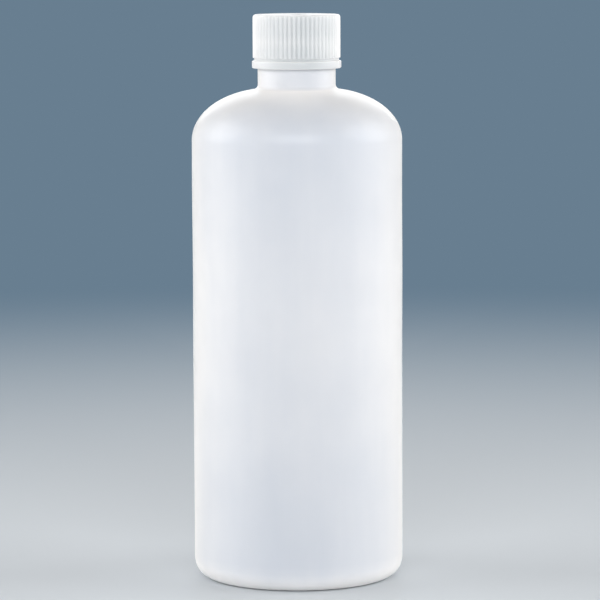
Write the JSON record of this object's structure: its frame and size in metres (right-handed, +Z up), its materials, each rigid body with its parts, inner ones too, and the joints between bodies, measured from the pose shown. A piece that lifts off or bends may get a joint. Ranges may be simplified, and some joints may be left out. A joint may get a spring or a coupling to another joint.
{
  "type": "reagent bottle",
  "caption": "Narrow-mouth cylindrical reagent bottle of translucent polyethylene with a rounded shoulder and a ribbed screw cap that unscrews and lifts off.",
  "frame": {"origin": "centre of the plane that the bottle stands on, on its axis", "axes": "+Z up along the bottle's axis, from the base to the cap; +X along the mould's parting line, with the thread starts at the +X side"},
  "size_m": [0.068, 0.068, 0.1835],
  "materials": {
    "bottle_polyethylene": "natural high-density polyethylene, milky translucent white with a satin moulded surface",
    "cap_polypropylene": "natural polypropylene, translucent white, slightly glossier than the bottle",
    "liner_foam": "closed-cell polyethylene foam sheet, matt white"
  },
  "bodies": {
    "bottle": {"bottle": "bottle_polyethylene"},
    "seal": {"cap_liner": "liner_foam"},
    "cap": {"screw_cap": "cap_polypropylene"}
  },
  "joints": [
    {"name": "cap_lift", "type": "slide", "parent": "bottle", "child": "seal", "axis": [0, 0, 1], "range_m": [0, 0.016]},
    {"name": "cap_turn", "type": "hinge", "parent": "seal", "child": "cap", "pos_m": [0, 0, 0.175], "axis": [0, 0, 1], "range_deg": [0, 1800]}
  ],
  "couplings": [
    {"joint": "cap_lift", "follows": "cap_turn", "m_per_rad": 0.00050611}
  ]
}
